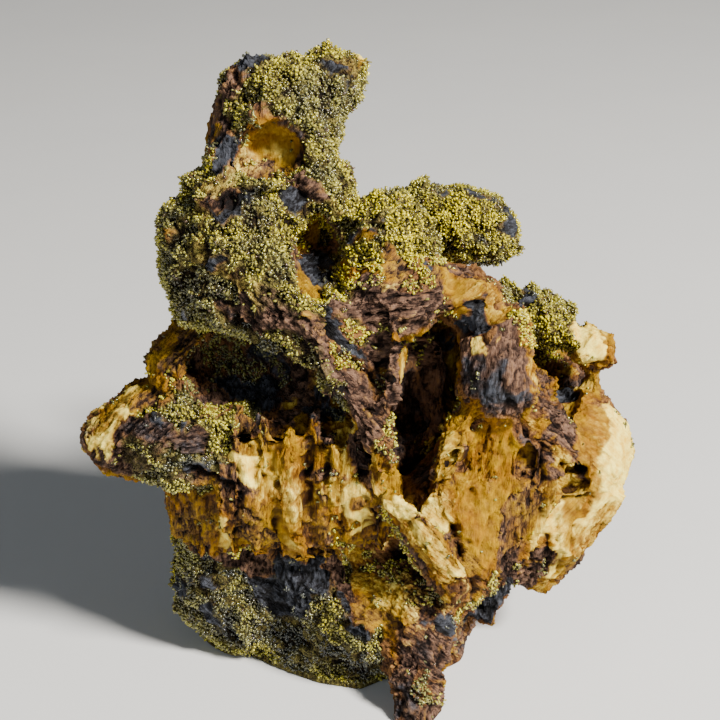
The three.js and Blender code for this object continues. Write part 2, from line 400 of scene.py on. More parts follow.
FRONT["skirt"] = "rising", [
    ("cream", 7, (604, 506), (592, 520), (580, 540)),
    ("gold", 5, (586, 508), (576, 530), (562, 560)),
    ("buff", 13, (604, 516), (598, 530), (584, 552)),
    ("honey", 9, (566, 516), (562, 540), (572, 556)),
    ("cream", 6, (551, 520), (552, 550), (547, 572)),
    ("buff", 7, (556, 580), (540, 592)),
]
FRONT["blade"] = "falling", [
    ("cream", 9, (392, 502), (412, 512), (430, 512)),
    ("buff", 8, (436, 498), (450, 518)),
    ("buff", 10, (418, 526), (436, 546), (450, 566)),
    ("cream", 6, (424, 534), (440, 552), (452, 576)),
    ("honey", 5, (446, 540), (458, 560)),
    ("buff", 6, (402, 520), (418, 548), (442, 582)),
    ("tan", 6, (460, 550), (470, 574), (474, 592)),
    ("lemon", 5, (376, 512), (384, 530)),
    ("black", 4.5, (372, 534)),
    ("rimed", 6, (396, 542), (412, 564), (424, 584)),
]
FRONT["brown foot"] = "falling", [
    ("buff", 9, (362, 560), (374, 588), (394, 610)),
    ("buff", 6, (366, 570), (384, 602), (402, 622)),
    ("green", 5, (352, 552), (350, 578), (386, 556), (410, 560)),
    ("rimed", 8, (390, 578), (414, 604), (436, 602)),
    ("buff", 5, (402, 588), (424, 596), (444, 600)),
    ("tan", 9, (352, 606), (372, 622), (396, 630)),
    ("green", 5, (464, 612), (480, 602)),
    ("slate", 8, (428, 630), (452, 626)),
    ("rimed", 6, (440, 616), (418, 626), (442, 638)),
    ("iron", 9, (398, 642), (420, 656), (445, 660)),
    ("rimed", 6, (404, 646), (428, 652)),
    ("brown", 8, (462, 640), (440, 648)),
    ("sparse", 7, (404, 660), (412, 674)),
    ("iron", 8, (402, 684), (412, 704)),
    ("olive", 7, (428, 676), (425, 700)),
]
FRONT["fluted band"] = "upright", [
    ("rust", 6, (239, 414), (241, 438)),
    ("iron", 5, (262, 415), (252, 428)),
    ("cream", 5, (243, 462), (256, 474)),
    ("buff", 7, (254, 446), (266, 466)),
    ("rust", 6, (272, 432), (264, 446)),
    ("mustard", 6, (286, 428), (289, 460)),
    ("honey", 6, (276, 450), (278, 486)),
    ("mustard", 5, (300, 416), (304, 452)),
    ("buff", 10, (282, 490), (302, 486), (300, 516)),
    ("brown", 7, (314, 412), (318, 436)),
    ("mustard", 6, (316, 456), (328, 462)),
    ("iron", 4, (325, 476)),
    ("buff", 7, (338, 436), (342, 470)),
    ("brown", 4, (357, 440), (353, 474)),
    ("buff", 6, (370, 446), (372, 488)),
    ("mustard", 8, (386, 466), (388, 488)),
    ("rust", 8, (204, 482), (224, 490)),
    ("tan", 9, (176, 500), (196, 512), (208, 540)),
    ("rust", 9, (170, 524), (186, 542)),
    ("cream", 5, (221, 522), (224, 546)),
    ("tan", 6, (234, 500), (238, 540)),
    ("rust", 6, (250, 500), (248, 545)),
    ("tan", 7, (258, 512), (260, 552)),
    ("rust", 6, (269, 508), (271, 552)),
    ("honey", 8, (284, 516), (288, 552)),
    ("cream", 5, (290, 546)),
    ("tan", 8, (316, 516), (318, 550)),
    ("cream", 6, (346, 504), (350, 526)),
    ("buff", 8, (330, 486), (338, 506)),
    ("tan", 8, (362, 512), (360, 542)),
    ("brown", 8, (228, 562), (258, 572)),
    ("black", 10, (284, 574), (308, 584)),
    ("brown", 8, (334, 568), (346, 590)),
]
FRONT["arm"] = "rising", [
    ("cream", 8, (92, 450), (106, 440)),
    ("buff", 8, (106, 428), (116, 404), (130, 390)),
    ("cream", 5, (112, 414), (126, 412)),
    ("rust", 6, (134, 402), (150, 386)),
    ("mustard", 7, (150, 376), (160, 358), (168, 336)),
    ("iron", 8, (118, 436), (140, 424), (150, 434)),
    ("slate", 6, (154, 414)),
    ("rust", 6, (170, 400), (160, 388)),
    ("brown", 8, (98, 466), (118, 474)),
    ("sparse", 8, (126, 458), (150, 462), (140, 478)),
    ("olive", 7, (148, 484), (155, 505), (166, 522)),
    ("lemon", 5, (146, 404), (176, 378)),
    ("rust", 8, (182, 362), (178, 346)),
]
FRONT["ledge"] = "level", [
    ("green", 6, (166, 416), (192, 408), (218, 404)),
    ("green", 6, (218, 422), (222, 446), (206, 456)),
    ("iron", 10, (168, 438), (192, 444)),
    ("slate", 5, (178, 420)),
    ("shaded", 8, (164, 462), (188, 462), (214, 462)),
    ("black", 5, (164, 454), (184, 468), (206, 472), (228, 482)),
    ("sparse", 6, (182, 482)),
]
FRONT["cave under the shoulder"] = "upright", [
    ("olive", 11, (195, 352), (235, 362), (272, 372)),
    ("olive", 8, (182, 392), (205, 380)),
    # painted shadow in the cave
    ("black", 10, (225, 382), (262, 392)),
    ("brown", 9, (196, 366), (212, 392)),
    # painted shadow in the gap of the cave
    ("black", 8, (310, 406), (312, 426)),
    ("shaded", 7, (330, 404), (342, 412)),
]
FRONT["foot"] = "falling", [
    ("olive", 9, (186, 566), (182, 588), (205, 602), (226, 612), (246, 624)),
    ("olive", 9, (182, 612), (200, 632)),
    ("shaded", 8, (212, 578), (236, 592), (226, 636)),
    ("slate", 6, (168, 590), (196, 582), (216, 628)),
    ("black", 11, (262, 596), (285, 606), (305, 600)),
    ("shaded", 11, (268, 634), (300, 640), (290, 660)),
    ("green", 6, (334, 616), (330, 634), (350, 624)),
    ("shaded", 11, (325, 656), (350, 666), (372, 676)),
    ("black", 7, (360, 640), (340, 600)),
]

# Cracks (a height below 0) and rims (above 0) of the front: the pixels where each starts and ends, its half
# width and its height
CREASES = [
    # grooves and slits of the fluted band
    ((236, 470), (236, 552), 0.9, -1.3),
    ((256, 440), (262, 480), 0.7, -1.0),
    ((276, 486), (276, 565), 0.9, -1.3),
    ((268, 440), (272, 470), 0.6, -0.9),
    ((308, 440), (309, 515), 0.9, -1.4),
    ((304, 525), (318, 560), 0.8, -1.0),
    ((324, 452), (326, 482), 0.8, -1.5),
    ((341, 505), (341, 545), 0.8, -1.0),
    ((359, 430), (359, 478), 0.7, -2.2),
    ((372, 455), (372, 490), 0.6, -1.0),
    ((285, 440), (290, 475), 0.7, 0.7),
    ((295, 425), (300, 455), 0.6, 0.7),
    ((248, 445), (246, 470), 0.8, 0.6),
    ((291, 490), (295, 556), 1.4, 0.6),
    ((256, 500), (258, 560), 1.2, 0.5),
    ((328, 490), (328, 540), 1.2, 0.5),
    ((352, 485), (352, 535), 1.0, 0.5),
    # ledge over the band
    ((165, 464), (229, 484), 1.1, -1.7),
    ((203, 489), (205, 500), 0.5, -1.0),
    ((160, 452), (225, 468), 1.4, 0.6),
    # panel, blade and the cleft between them
    ((399, 474), (446, 422), 1.1, -2.2),
    ((473, 488), (473, 505), 0.7, -1.6),
    ((450, 470), (467, 443), 1.0, -2.0),
    ((466, 442), (478, 424), 0.8, -1.1),
    ((527, 426), (530, 470), 0.8, -1.8),
    ((540, 428), (542, 470), 0.7, -1.6),
    ((543, 475), (547, 570), 0.9, -1.2),
    ((486, 465), (466, 530), 0.7, 0.6),
    ((505, 470), (486, 560), 0.8, -0.7),
    ((497, 470), (480, 545), 0.7, 0.5),
    ((452, 530), (482, 612), 0.9, -1.6),
    ((462, 520), (478, 560), 0.7, 0.7),
    ((365, 502), (397, 551), 0.9, -1.4),
    ((397, 551), (448, 612), 0.8, -1.3),
    ((392, 494), (440, 500), 0.8, 0.6),
    ((398, 497), (460, 585), 1.0, 0.6),
    ((420, 520), (450, 575), 0.6, -0.8),
    ((408, 525), (436, 580), 0.6, -0.7),
    ((366, 512), (372, 538), 1.0, -1.8),
    # right bulge and skirt
    ((552, 412), (582, 448), 0.8, -1.2),
    ((560, 405), (594, 440), 0.7, -0.8),
    ((562, 468), (582, 470), 0.8, -1.6),
    ((566, 486), (592, 482), 0.9, -1.9),
    ((565, 500), (586, 496), 0.7, -1.3),
    ((566, 478), (590, 474), 0.7, 0.7),
    ((570, 493), (592, 490), 0.7, 0.6),
    ((553, 505), (560, 570), 0.8, -0.8),
    ((578, 512), (572, 560), 0.7, -0.6),
    # orange block and bulge
    ((445, 332), (447, 352), 0.8, -1.8),
    ((440, 322), (488, 300), 0.8, -0.9),
    ((452, 335), (492, 322), 0.7, -0.9),
    ((443, 300), (495, 292), 0.9, 0.6),
    ((534, 342), (538, 391), 0.8, 0.6),
    ((500, 372), (512, 412), 0.9, -1.0),
    ((530, 402), (527, 426), 0.8, -1.1),
    # strap, groove and fin
    ((210, 258), (250, 280), 1.0, 0.8),
    ((250, 280), (287, 303), 0.9, 0.7),
    ((287, 303), (327, 325), 0.9, 0.7),
    ((327, 325), (347, 360), 0.9, 0.7),
    ((347, 360), (388, 420), 0.9, 0.7),
    ((207, 290), (250, 338), 0.9, -1.4),
    ((232, 300), (290, 372), 0.6, -0.8),
    ((262, 305), (322, 372), 0.6, -0.8),
    ((290, 325), (345, 400), 0.6, -0.8),
    ((325, 303), (342, 353), 1.1, -1.9),
    ((355, 362), (385, 390), 0.9, -1.3),
    ((353, 305), (372, 350), 0.8, 0.7),
    ((372, 305), (400, 392), 0.7, 0.7),
    ((385, 320), (402, 380), 0.6, -0.9),
    ((365, 330), (392, 390), 0.8, -1.2),
    # face under the knob
    ((360, 300), (432, 292), 0.6, -0.8),
    ((372, 318), (438, 308), 0.5, -0.7),
    ((380, 332), (438, 322), 0.5, -0.7),
    # brow, neck and spire
    ((206, 202), (228, 196), 1.0, -1.8),
    ((228, 196), (264, 190), 1.0, -1.8),
    ((195, 192), (226, 168), 1.0, 0.6),
    ((226, 168), (268, 178), 0.9, 0.6),
    ((302, 178), (342, 216), 0.9, 0.7),
    ((296, 185), (325, 225), 0.8, -1.3),
    ((247, 112), (282, 124), 0.8, 0.6),
    ((282, 124), (309, 152), 0.8, 0.6),
    ((246, 118), (240, 150), 0.8, -0.9),
    ((232, 70), (250, 100), 0.8, -0.9),
    ((330, 72), (350, 70), 0.8, -0.9),
    # foot
    ((300, 585), (330, 615), 0.8, -0.9),
    ((262, 600), (300, 625), 0.9, -0.8),
    ((392, 620), (430, 660), 0.7, -1.0),
    ((375, 600), (420, 640), 0.7, 0.6),
    ((440, 612), (470, 640), 0.7, 0.6),
]

random = np.random.default_rng(7)


def view_back():
    """From the specimen towards the camera."""
    return Vector((0, -math.cos(VIEW_ELEVATION), math.sin(VIEW_ELEVATION)))


def eye():
    return Vector((0, 0, VIEW_HEIGHT)) + view_back() * VIEW_DISTANCE


def sight(pixel):
    """The direction in which the camera sees a pixel of the photograph."""
    x = (pixel[0] / PHOTO_SIZE - 0.5) * SENSOR
    y = (0.5 - pixel[1] / PHOTO_SIZE) * SENSOR
    turned = (-view_back()).to_track_quat("-Z", "Y")
    return turned @ Vector((x, y, -LENS)).normalized()


def on_rock(pixels, spacing, skin_tree):
    """The places on the rock that the camera sees along a line of pixels."""
    course = [Vector(pixels[0])]
    for a, b in zip(map(Vector, pixels), map(Vector, pixels[1:])):
        parts = max(1, round((b - a).length / spacing))
        course += [a.lerp(b, (i + 1) / parts) for i in range(parts)]
    hits = [skin_tree.ray_cast(eye(), sight(pixel))[0] for pixel in course]
    return [np.array(hit) for hit in hits if hit is not None]


def clouds(points, size, octaves=4, shift=0.0):
    """Cloudy noise, about -1 to 1, with billows of a given size."""
    return np.array([noise.fractal(p, 0.6, 2.0, octaves) for p in ((points + shift) / size).tolist()])


def cells(points, size, shift=0.0):
    """Distance to the nearest of many scattered middles, 0 at a middle and about 0.6 between them."""
    return np.array([noise.voronoi(p)[0][0] for p in ((points + shift) / size).tolist()])


def drawn_out(points, run, length, width, shift=0.0):
    """The points in a space where fibres of a given length and width are as long as they are wide."""
    turn = np.array(Vector(run).to_track_quat("X", "Z").to_matrix())
    return (points + shift) @ turn / (length, width, width)


def fibres(points, run, length, width, octaves=4, shift=0.0):
    """Cloudy noise drawn out into fibres along a direction."""
    return clouds(drawn_out(points, run, length, width, shift), 1, octaves)


def cracks(points, run, length, width, octaves, shift):
    """Narrow broken cracks along a direction, 1 in the middle of a crack."""
    crack = 1 - np.abs(fibres(points, run, length, width, octaves, shift)) / CRACK
    return np.clip(crack, 0, 1)


def splinters(points, run, length, width, shift=0.0):
    """Splinters along a direction, each with its own height and tilt and a groove round it, about -1 to 1."""
    height = np.empty(len(points))
    for i, p in enumerate(map(Vector, drawn_out(points, run, length, width, shift).tolist())):
        gaps, middles = noise.voronoi(p)
        middle = middles[0]
        tilt = (p - middle).dot(noise.cell_vector(middle) - HALF)
        groove = max(0.0, 1 - (gaps[1] - gaps[0]) / GROOVE)
        height[i] = 0.6 * noise.cell(middle) + 1.6 * tilt - 0.9 * groove
    return height


def grained(points, traits, make, sizes):
    """Fibres, cracks or splinters that run as the strokes say."""
    total = np.zeros(len(points))
    for kind, run in RUNS.items():
        here = np.flatnonzero(traits[kind] > 0.05)
        total[here] += traits[kind][here] * make(points[here], run, *sizes)
    return total


def step(low, high, value):
    """Rises smoothly from 0 at the low value to 1 at the high one."""
    t = np.clip((value - low) / (high - low), 0, 1)
    return t * t * (3 - 2 * t)


def wavy(points, waves):
    """The points, each pushed about by waves of a size and height, so that nothing runs straight."""
    for size, height in waves:
        points = points + height * np.stack([clouds(points, size, 2, shift) for shift in (11, 47, 83)], 1)
    return points


def new_object(name, data):
    thing = bpy.data.objects.new(name, data)
    bpy.context.scene.collection.objects.link(thing)
    return thing


def finished_mesh(bm, name):
    """The bmesh as a mesh of its own."""
    mesh = bpy.data.meshes.new(name)
    bm.to_mesh(mesh)
    bm.free()
    return mesh


def loose_copy(names):
    """One welded mesh of the named nodes."""
    bm = bmesh.new()
    for name in names:
        bm.from_mesh(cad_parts[name].data)
    bmesh.ops.remove_doubles(bm, verts=bm.verts, dist=WELD * MM)
    return finished_mesh(bm, "rock")


def keep_outer_shell(bm):
    """Deletes all but the shell that has the most faces."""
    waiting = set(bm.faces)
    shells = []
    while waiting:
        front = [waiting.pop()]
        shell = list(front)
        while front:
            for edge in front.pop().edges:
                for face in edge.link_faces:
                    if face in waiting:
                        waiting.remove(face)
                        front.append(face)
                        shell.append(face)
        shells.append(shell)
    shells.sort(key=len)
    for shell in shells[:-1]:
        bmesh.ops.delete(bm, geom=shell, context="FACES")


def remeshed_skin():
    """The block and its crusts as one even skin, with the facets of the solids worn off."""
    rock = new_object("rock", loose_copy(sorted(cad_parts)))
    remesh = rock.modifiers.new("skin", "REMESH")
    remesh.mode = "VOXEL"
    remesh.voxel_size = GRID * MM
    worn = rock.modifiers.new("worn", "SMOOTH")
    worn.factor = 0.5
    worn.iterations = 8
    bpy.context.view_layer.update()
    seen = rock.evaluated_get(bpy.context.evaluated_depsgraph_get())
    skin = bpy.data.meshes.new_from_object(seen)
    bpy.data.objects.remove(rock)
    bm = bmesh.new()
    bm.from_mesh(skin)
    keep_outer_shell(bm)
    bmesh.ops.recalc_face_normals(bm, faces=bm.faces)
    bm.to_mesh(skin)
    bm.free()
    return skin


def points_of(mesh):
    """Places in millimetres and normals of a mesh's points."""
    count = len(mesh.vertices)
    co = np.empty(count * 3, np.float32)
    mesh.vertices.foreach_get("co", co)
    normal = np.empty(count * 3, np.float32)
    mesh.vertex_normals.foreach_get("vector", normal)
    return co.reshape(-1, 3).astype(float) / MM, normal.reshape(-1, 3).astype(float)


def tree_of(mesh):
    """A search tree of a mesh's faces, in millimetres."""
    return BVHTree.FromPolygons([v.co / MM for v in mesh.vertices], [list(p.vertices) for p in mesh.polygons])


def near_crusts(points):
    """For each point, 1 on a crust and 0 beyond its edge, and the name of the crust that is nearest."""
    crusts = [n for n in sorted(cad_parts) if n.startswith("crust_")]
    gap = np.full((len(crusts), len(points)), FAR)
    for row, name in zip(gap, crusts):
        tree = tree_of(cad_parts[name].data)
        low, high = (np.array(corner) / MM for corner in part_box(name))
        for i in np.flatnonzero(np.all((points > low - 2) & (points < high + 2), axis=1)):
            found = tree.find_nearest(points[i].tolist(), CRUST_REACH)
            if found[3] is not None:
                row[i] = found[3]
    return 1 - step(*CRUST_EDGE, gap.min(0)), np.array(crusts)[gap.argmin(0)]


def own_traits(points, on_crust):
    """The traits that the rock has by itself, from noise, which show where no stroke runs."""
    cloudy = clouds(points, CLOUD)
    streaky = fibres(points, RUNS["upright"], *STREAK)
    turning = clouds(points, TURN, 2, 5)
    patches = 0.33 * step(0.3, 0.7, cloudy - streaky) * step(*BARE_SIDE, -points[:, 0])
    return {
        "ochre": step(-0.4, 0.3, cloudy),
        "cream": 0.5 * step(0.25, 0.7, streaky),
        "umber": step(-0.2, 0.5, -streaky),
        "soot_and_shade": 0.6 * step(0.35, 0.8, -cloudy),
        "druse": np.maximum(0.9 * on_crust, patches),
        "lemon": 0.25 + 0.5 * step(0, 0.5, cloudy),
        "upright": step(-0.3, 0.1, turning),
        "falling": 1 - step(-0.3, 0.1, turning),
    }


def traits_at(points, on_crust, skin_tree):
    """The traits of the rock at each point, from the strokes near it, and its own where there are none."""
    own = own_traits(points, on_crust)
    warped = wavy(points, STAIN_WAVES).astype(np.float32)
    weight = np.full(len(points), FAINT)
    total = {trait: FAINT * own.get(trait, np.zeros(len(points))) for trait in TRAITS}
    for run, strokes in FRONT.values():
        axis = np.array(Vector(RUNS[run]).normalized())
        for finish, radius, *pixels in strokes:
            reach = BRUSH * radius * PIXEL
            spots = on_rock(pixels, radius, skin_tree)
            if not spots:
                continue
            low, high = np.min(spots, 0) - BRUSH_END * reach, np.max(spots, 0) + BRUSH_END * reach
            near = np.flatnonzero(np.all((warped > low) & (warped < high), axis=1))
            share = np.zeros(len(near))
            for spot in spots:
                offset = warped[near] - spot
                away = np.maximum((offset**2).sum(1) - 0.5 * (offset @ axis) ** 2, 0) / reach**2
                share = np.maximum(share, np.exp(-2 * away))
            weight[near] += share
            for trait in STROKED:
                total[trait][near] += share * FINISHES[finish].get(trait, 0)
            total[run][near] += share
    return {trait: total[trait] / weight for trait in TRAITS}


def creases_at(points, skin_tree):
    """The depth of the cracks and the height of the rims at each point."""
    bent = wavy(points, CREASE_WAVES)
    uneven = np.clip(0.8 + 0.9 * clouds(points, 2.5, 2, 41), 0.1, 1.6)
    total = np.zeros(len(points))
    for start, end, half, height in CREASES:
        line = on_rock([start, end], CREASE_STEP, skin_tree)
        if len(line) < 2:
            continue
        low, high = np.min(line, 0) - 3 * half, np.max(line, 0) + 3 * half
        near = np.flatnonzero(np.all((bent > low) & (bent < high), axis=1))
        gap = np.full(len(near), FAR)
        for a, b in zip(line, line[1:]):
            course = b - a
            if np.linalg.norm(course) < JUMP:
                share = np.clip((bent[near] - a) @ course / (course @ course), 0, 1)
                gap = np.minimum(gap, np.linalg.norm(bent[near] - a - share[:, None] * course, axis=1))
        total[near] += height * np.exp(-((gap / half) ** 2)) * uneven[near]
    return total


def rock_relief(points, on_crust, traits, creases):
    """How far the rock stands out from its skin, its crests, the druse's bed, and where it is smoother."""
    bent = wavy(points, GRAIN_WAVES)
    crag = clouds(bent, CRAG)
    flutes = grained(bent, traits, fibres, FLUTES)
    shards = grained(bent, traits, splinters, SHARDS)
    chips = grained(bent, traits, splinters, CHIPS)
    threads = grained(bent, traits, fibres, THREADS)
    slits = grained(bent, traits, cracks, SLITS) * step(-0.1, 0.3, clouds(points, 5, 2, 71))
    knobs = cells(points, KNOB, 29)
    calm = 0.4 * traits["ochre"] + 0.8 * traits["cream"] - 0.4 * traits["umber"] + 0.8 * traits["even"]
    calm = np.clip(calm, 0, 1)
    grown = 0.5 * crag + 0.4 * flutes + 0.45 * shards + 0.35 * chips + 0.45 * threads - 1.1 * slits
    rough = (1 - 0.72 * calm) * grown + 0.2 * calm * threads - 0.5
    knobbed = 1.3 * (0.40 - knobs) - 0.3 + 0.3 * threads + 0.2 * chips
    bare = rough + (knobbed - 0.6 * rough) * step(0.55, 0.9, traits["soot_and_shade"])
    humps = cells(wavy(points, HUMP_WAVES), HUMP, 7)
    bed = BED + np.minimum(3.0 * (0.34 - humps) + 1.1 * clouds(points, 2.0, 3, 13), 0.12)
    cover = on_crust * step(0.2, 0.6, traits["druse"])
    crests = 0.5 * shards + 0.6 * chips + 0.8 * threads - 0.8 * slits + 0.3 * flutes
    relief = bare * (1 - cover) + bed * cover + creases * (1 - 0.5 * cover)
    return np.clip(relief, DEEPEST, PROUDEST), step(-0.9, 0.9, crests + 0.5 * creases), cover, calm


def keep_inside(points):
    """Holds points within the box of the solids."""
    low, high = (np.array(corner) / MM for corner in cad_box)
    return np.clip(points, low, high)


def store(mesh, **values):
    """Keeps a value for each of the mesh's points, under each of the given names."""
    for name, value in values.items():
        attribute = mesh.attributes.new(name, "FLOAT", "POINT")
        attribute.data.foreach_set("value", np.asarray(value, np.float32))


def make_skin():
    """The whole rock as one mesh, with its traits stored at its points."""
    skin = remeshed_skin()
    points, normals = points_of(skin)
    on_crust, _ = near_crusts(points)
    skin_tree = tree_of(skin)
    traits = traits_at(points, on_crust, skin_tree)
    creases = creases_at(points, skin_tree)
    relief, crests, cover, calm = rock_relief(points, on_crust, traits, creases)
    relief *= step(*FADE, points[:, 2])
    places = keep_inside(points + normals * relief[:, None]) * MM
    moved = skin.attributes.new("moved", "FLOAT_VECTOR", "POINT")
    moved.data.foreach_set("vector", places.astype(np.float32).ravel())
    # open is low where the relief cuts deep; both materials paint shade there
    store(skin, **traits, bed=cover, calm=calm, crest=crests, open=step(-2.3, 0.0, relief))
    return skin


def cut_off(bm, level, up):
    """Cuts away what is above or below a level and closes the cut. Returns the points inside the cut."""
    geom = bm.verts[:] + bm.edges[:] + bm.faces[:]
    cut = bmesh.ops.bisect_plane(
        bm, geom=geom, plane_co=(0, 0, level * MM), plane_no=(0, 0, 1), clear_outer=up, clear_inner=not up
    )
    rim = [e for e in cut["geom_cut"] if isinstance(e, bmesh.types.BMEdge)]
    caps = bmesh.ops.triangle_fill(bm, use_beauty=True, use_dissolve=False, edges=rim)
    cap = [f for f in caps["geom"] if isinstance(f, bmesh.types.BMFace)]
    bmesh.ops.inset_region(bm, faces=cap, thickness=CAP_INSET * MM)
    return {v for f in cap for v in f.verts}


def rock_pieces(skin, material):
    """The even skin parted at the cuts into closed pieces, each then pushed out and in to its relief."""
    levels = [-math.inf, *CUTS, math.inf]
    for name, low, high in zip(ROCK, levels, levels[1:]):
        bm = bmesh.new()
        bm.from_mesh(skin)
        inner = set()
        for level, up in ((low, False), (high, True)):
            if math.isfinite(level):
                inner |= cut_off(bm, level, up)
        moved = bm.verts.layers.float_vector["moved"]
        for vert in bm.verts:
            if vert not in inner:
                vert.co = vert[moved]
        bm.verts.layers.float_vector.remove(moved)
        bmesh.ops.recalc_face_normals(bm, faces=bm.faces)
        mesh = finished_mesh(bm, name)
        mesh.shade_smooth()
        mesh.materials.append(material)
        piece = new_object(name, mesh)
        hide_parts("matrix")
        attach(piece, "root")


def push_out(skin):
    """Moves the skin's points to their places in the relief."""
    moved = np.empty(len(skin.vertices) * 3, np.float32)
    skin.attributes["moved"].data.foreach_get("vector", moved)
    skin.vertices.foreach_set("co", moved)
    skin.update()


def seeds_on(mesh):
    """Even random places on the rock, one in each small cell, with their normals and the traits there."""
    points, normals = points_of(mesh)
    mesh.calc_loop_triangles()
    corners = np.empty(len(mesh.loop_triangles) * 3, np.int32)
    mesh.loop_triangles.foreach_get("vertices", corners)
    corners = corners.reshape(-1, 3)
    a, b, c = (points[corners[:, i]] for i in range(3))
    area = np.linalg.norm(np.cross(b - a, c - a), axis=1) / 2
    count = int(area.sum() / SPACING**2 * TRIES)
    chosen = corners[random.choice(len(area), count, p=area / area.sum())]
    share = random.dirichlet((1, 1, 1), count)
    place = np.einsum("ij,ijk->ik", share, points[chosen])
    _, first = np.unique(np.floor(place / SPACING).astype(int), axis=0, return_index=True)
    place, chosen, share = place[first], chosen[first], share[first]
    normal = np.einsum("ij,ijk->ik", share, normals[chosen])
    normal /= np.linalg.norm(normal, axis=1)[:, None]
    values = {}
    for trait in ["druse"] + CARRIED:
        whole = np.empty(len(points), np.float32)
        mesh.attributes[trait].data.foreach_get("value", whole)
        values[trait] = np.einsum("ij,ij->i", share, whole[chosen])
    return place, normal, values


def crystal_form():
    """One six-sided prism, one across and one long, standing on the origin."""
    bm = bmesh.new()
    bmesh.ops.create_cone(bm, cap_ends=True, segments=6, radius1=0.46, radius2=0.5, depth=1)
    bmesh.ops.translate(bm, verts=bm.verts, vec=(0, 0, 0.5))
    bmesh.ops.triangulate(bm, faces=bm.faces)
    points = np.array([v.co for v in bm.verts])
    faces = np.array([[v.index for v in f.verts] for f in bm.faces])
    bm.free()
    return points, faces


def unit(vectors):
    return vectors / np.linalg.norm(vectors, axis=1)[:, None]


def turned_crystals(place, normal):
    """The points and faces of one crystal at each place, leaning at random and sunk to its root."""
    form, faces = crystal_form()
    count = len(place)
    up = unit(normal + LEAN * random.normal(size=(count, 3)))
    side = unit(np.cross(up, random.normal(size=(count, 3))))
    front = np.cross(up, side)
    width = random.uniform(*WIDTH, count)
    length = random.uniform(*LENGTH, count)
    root = place - up * (length * (1 - STANDING))[:, None]
    points = root[:, None]
    for axis, size, along in zip((side, front, up), (width, width, length), form.T):
        points = points + axis[:, None] * (along * size[:, None])[:, :, None]
    index = faces[None] + (np.arange(count) * len(form))[:, None, None]
    return points.reshape(-1, 3), index.reshape(-1, 3), form[:, 2]


def mesh_of(name, points, triangles):
    mesh = bpy.data.meshes.new(name)
    mesh.vertices.add(len(points))
    mesh.vertices.foreach_set("co", (points * MM).astype(np.float32).ravel())
    mesh.loops.add(triangles.size)
    mesh.loops.foreach_set("vertex_index", triangles.astype(np.int32).ravel())
    mesh.polygons.add(len(triangles))
    mesh.polygons.foreach_set("loop_start", np.arange(0, triangles.size, 3, dtype=np.int32))
    mesh.update(calc_edges=True)
    return mesh


def crystal_piece(name, place, normal, values, material):
    """A mesh of one crystal at each place. Each has a tone of its own, partly shared with those near it."""
    points, triangles, along = turned_crystals(place, normal)
    mesh = mesh_of(name, keep_inside(points), triangles)
    shared = step(-0.5, 0.6, clouds(place, TONE_PATCH, 3, 91))
    tone = 0.65 * random.uniform(0, 1, len(place)) ** 1.2 + 0.35 * shared
    corners = len(along)
    given = {trait: np.repeat(values[trait], corners) for trait in CARRIED}
    store(mesh, tone=np.repeat(tone, corners), along=np.tile(along, len(place)), **given)
    mesh.materials.append(material)
    return new_object(name, mesh)


def grow_druse(skin, material):
    """Crystals wherever the druse stands, in pieces for each crust and for those scattered on bare rock."""
    place, normal, values = seeds_on(skin)
    clumpy = clouds(place, CLUMP, 3)
    patchy = clouds(place, PATCH, 2, 61)
    wanted = 0.9 * values["druse"] + 0.5 * clumpy + 0.3 * patchy
    kept = (wanted > THINNEST) & (place[:, 2] > LOWEST)
    place, normal = place[kept], normal[kept]
    values = {trait: value[kept] for trait, value in values.items()}
    on_crust, crust = near_crusts(place)
    group = np.where(on_crust > 0.1, crust, "scattered")
    for name in sorted(set(group)):
        mine = np.flatnonzero(group == name)
        by_height = mine[np.argsort(place[mine, 2])]
        parts = math.ceil(len(mine) / MOST)
        for number, some in enumerate(np.array_split(by_height, parts)):
            label = "crystals_" + name.removeprefix("crust_") + (f"_{number + 1}" if parts > 1 else "")
            some_values = {trait: value[some] for trait, value in values.items()}
            piece = crystal_piece(label, place[some], normal[some], some_values, material)
            if name != "scattered":
                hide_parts(name)
            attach(piece, "root")


class Bench:
    """A tree's nodes, each laid down with its settings and inputs in one call. _0 is a node's first input."""

    def __init__(self, tree):
        self.tree = tree

    def fill(self, socket, value):
        """Links an input to a socket, or gives it a plain value."""
        if isinstance(value, bpy.types.NodeSocket):
            self.tree.links.new(value, socket)
        else:
            socket.default_value = value

    def put(self, kind, settings=(), **inputs):
        node = self.tree.nodes.new("ShaderNode" + kind)
        for name, value in dict(settings).items():
            setattr(node, name, value)
        for name, value in inputs.items():
            key = int(name[1:]) if name[1:].isdigit() else name.replace("_", " ")
            self.fill(node.inputs[key], value)
        return node.outputs

    def trait(self, name):
        return self.put("Attribute", {"attribute_name": name})["Fac"]

    def sums(self, operation, a, b, c=0.0):
        return self.put("Math", {"operation": operation}, _0=a, _1=b, _2=c)[0]

    def ramp(self, value, low, high, to_low=0.0, to_high=1.0):
        settings = {"interpolation_type": "SMOOTHSTEP"}
        inputs = dict(Value=value, From_Min=low, From_Max=high, To_Min=to_low, To_Max=to_high)
        return self.put("MapRange", settings, **inputs)[0]

    def blend(self, share, a, b, how="MIX"):
        colours = [(*colour, 1) if isinstance(colour, tuple) else colour for colour in (a, b)]
        settings = {"data_type": "RGBA", "blend_type": how}
        return self.put("Mix", settings, _0=share, _6=colours[0], _7=colours[1])[2]


def new_group(name, inputs, outputs):
    """A shared node group with named inputs of a kind each and outputs that are values."""
    group = bpy.data.node_groups.new(name, "ShaderNodeTree")
    for socket, kind in inputs.items():
        group.interface.new_socket(socket, in_out="INPUT", socket_type="NodeSocket" + kind)
    for socket in outputs:
        group.interface.new_socket(socket, in_out="OUTPUT", socket_type="NodeSocketFloat")
    return group, Bench(group), group.nodes.new("NodeGroupInput").outputs


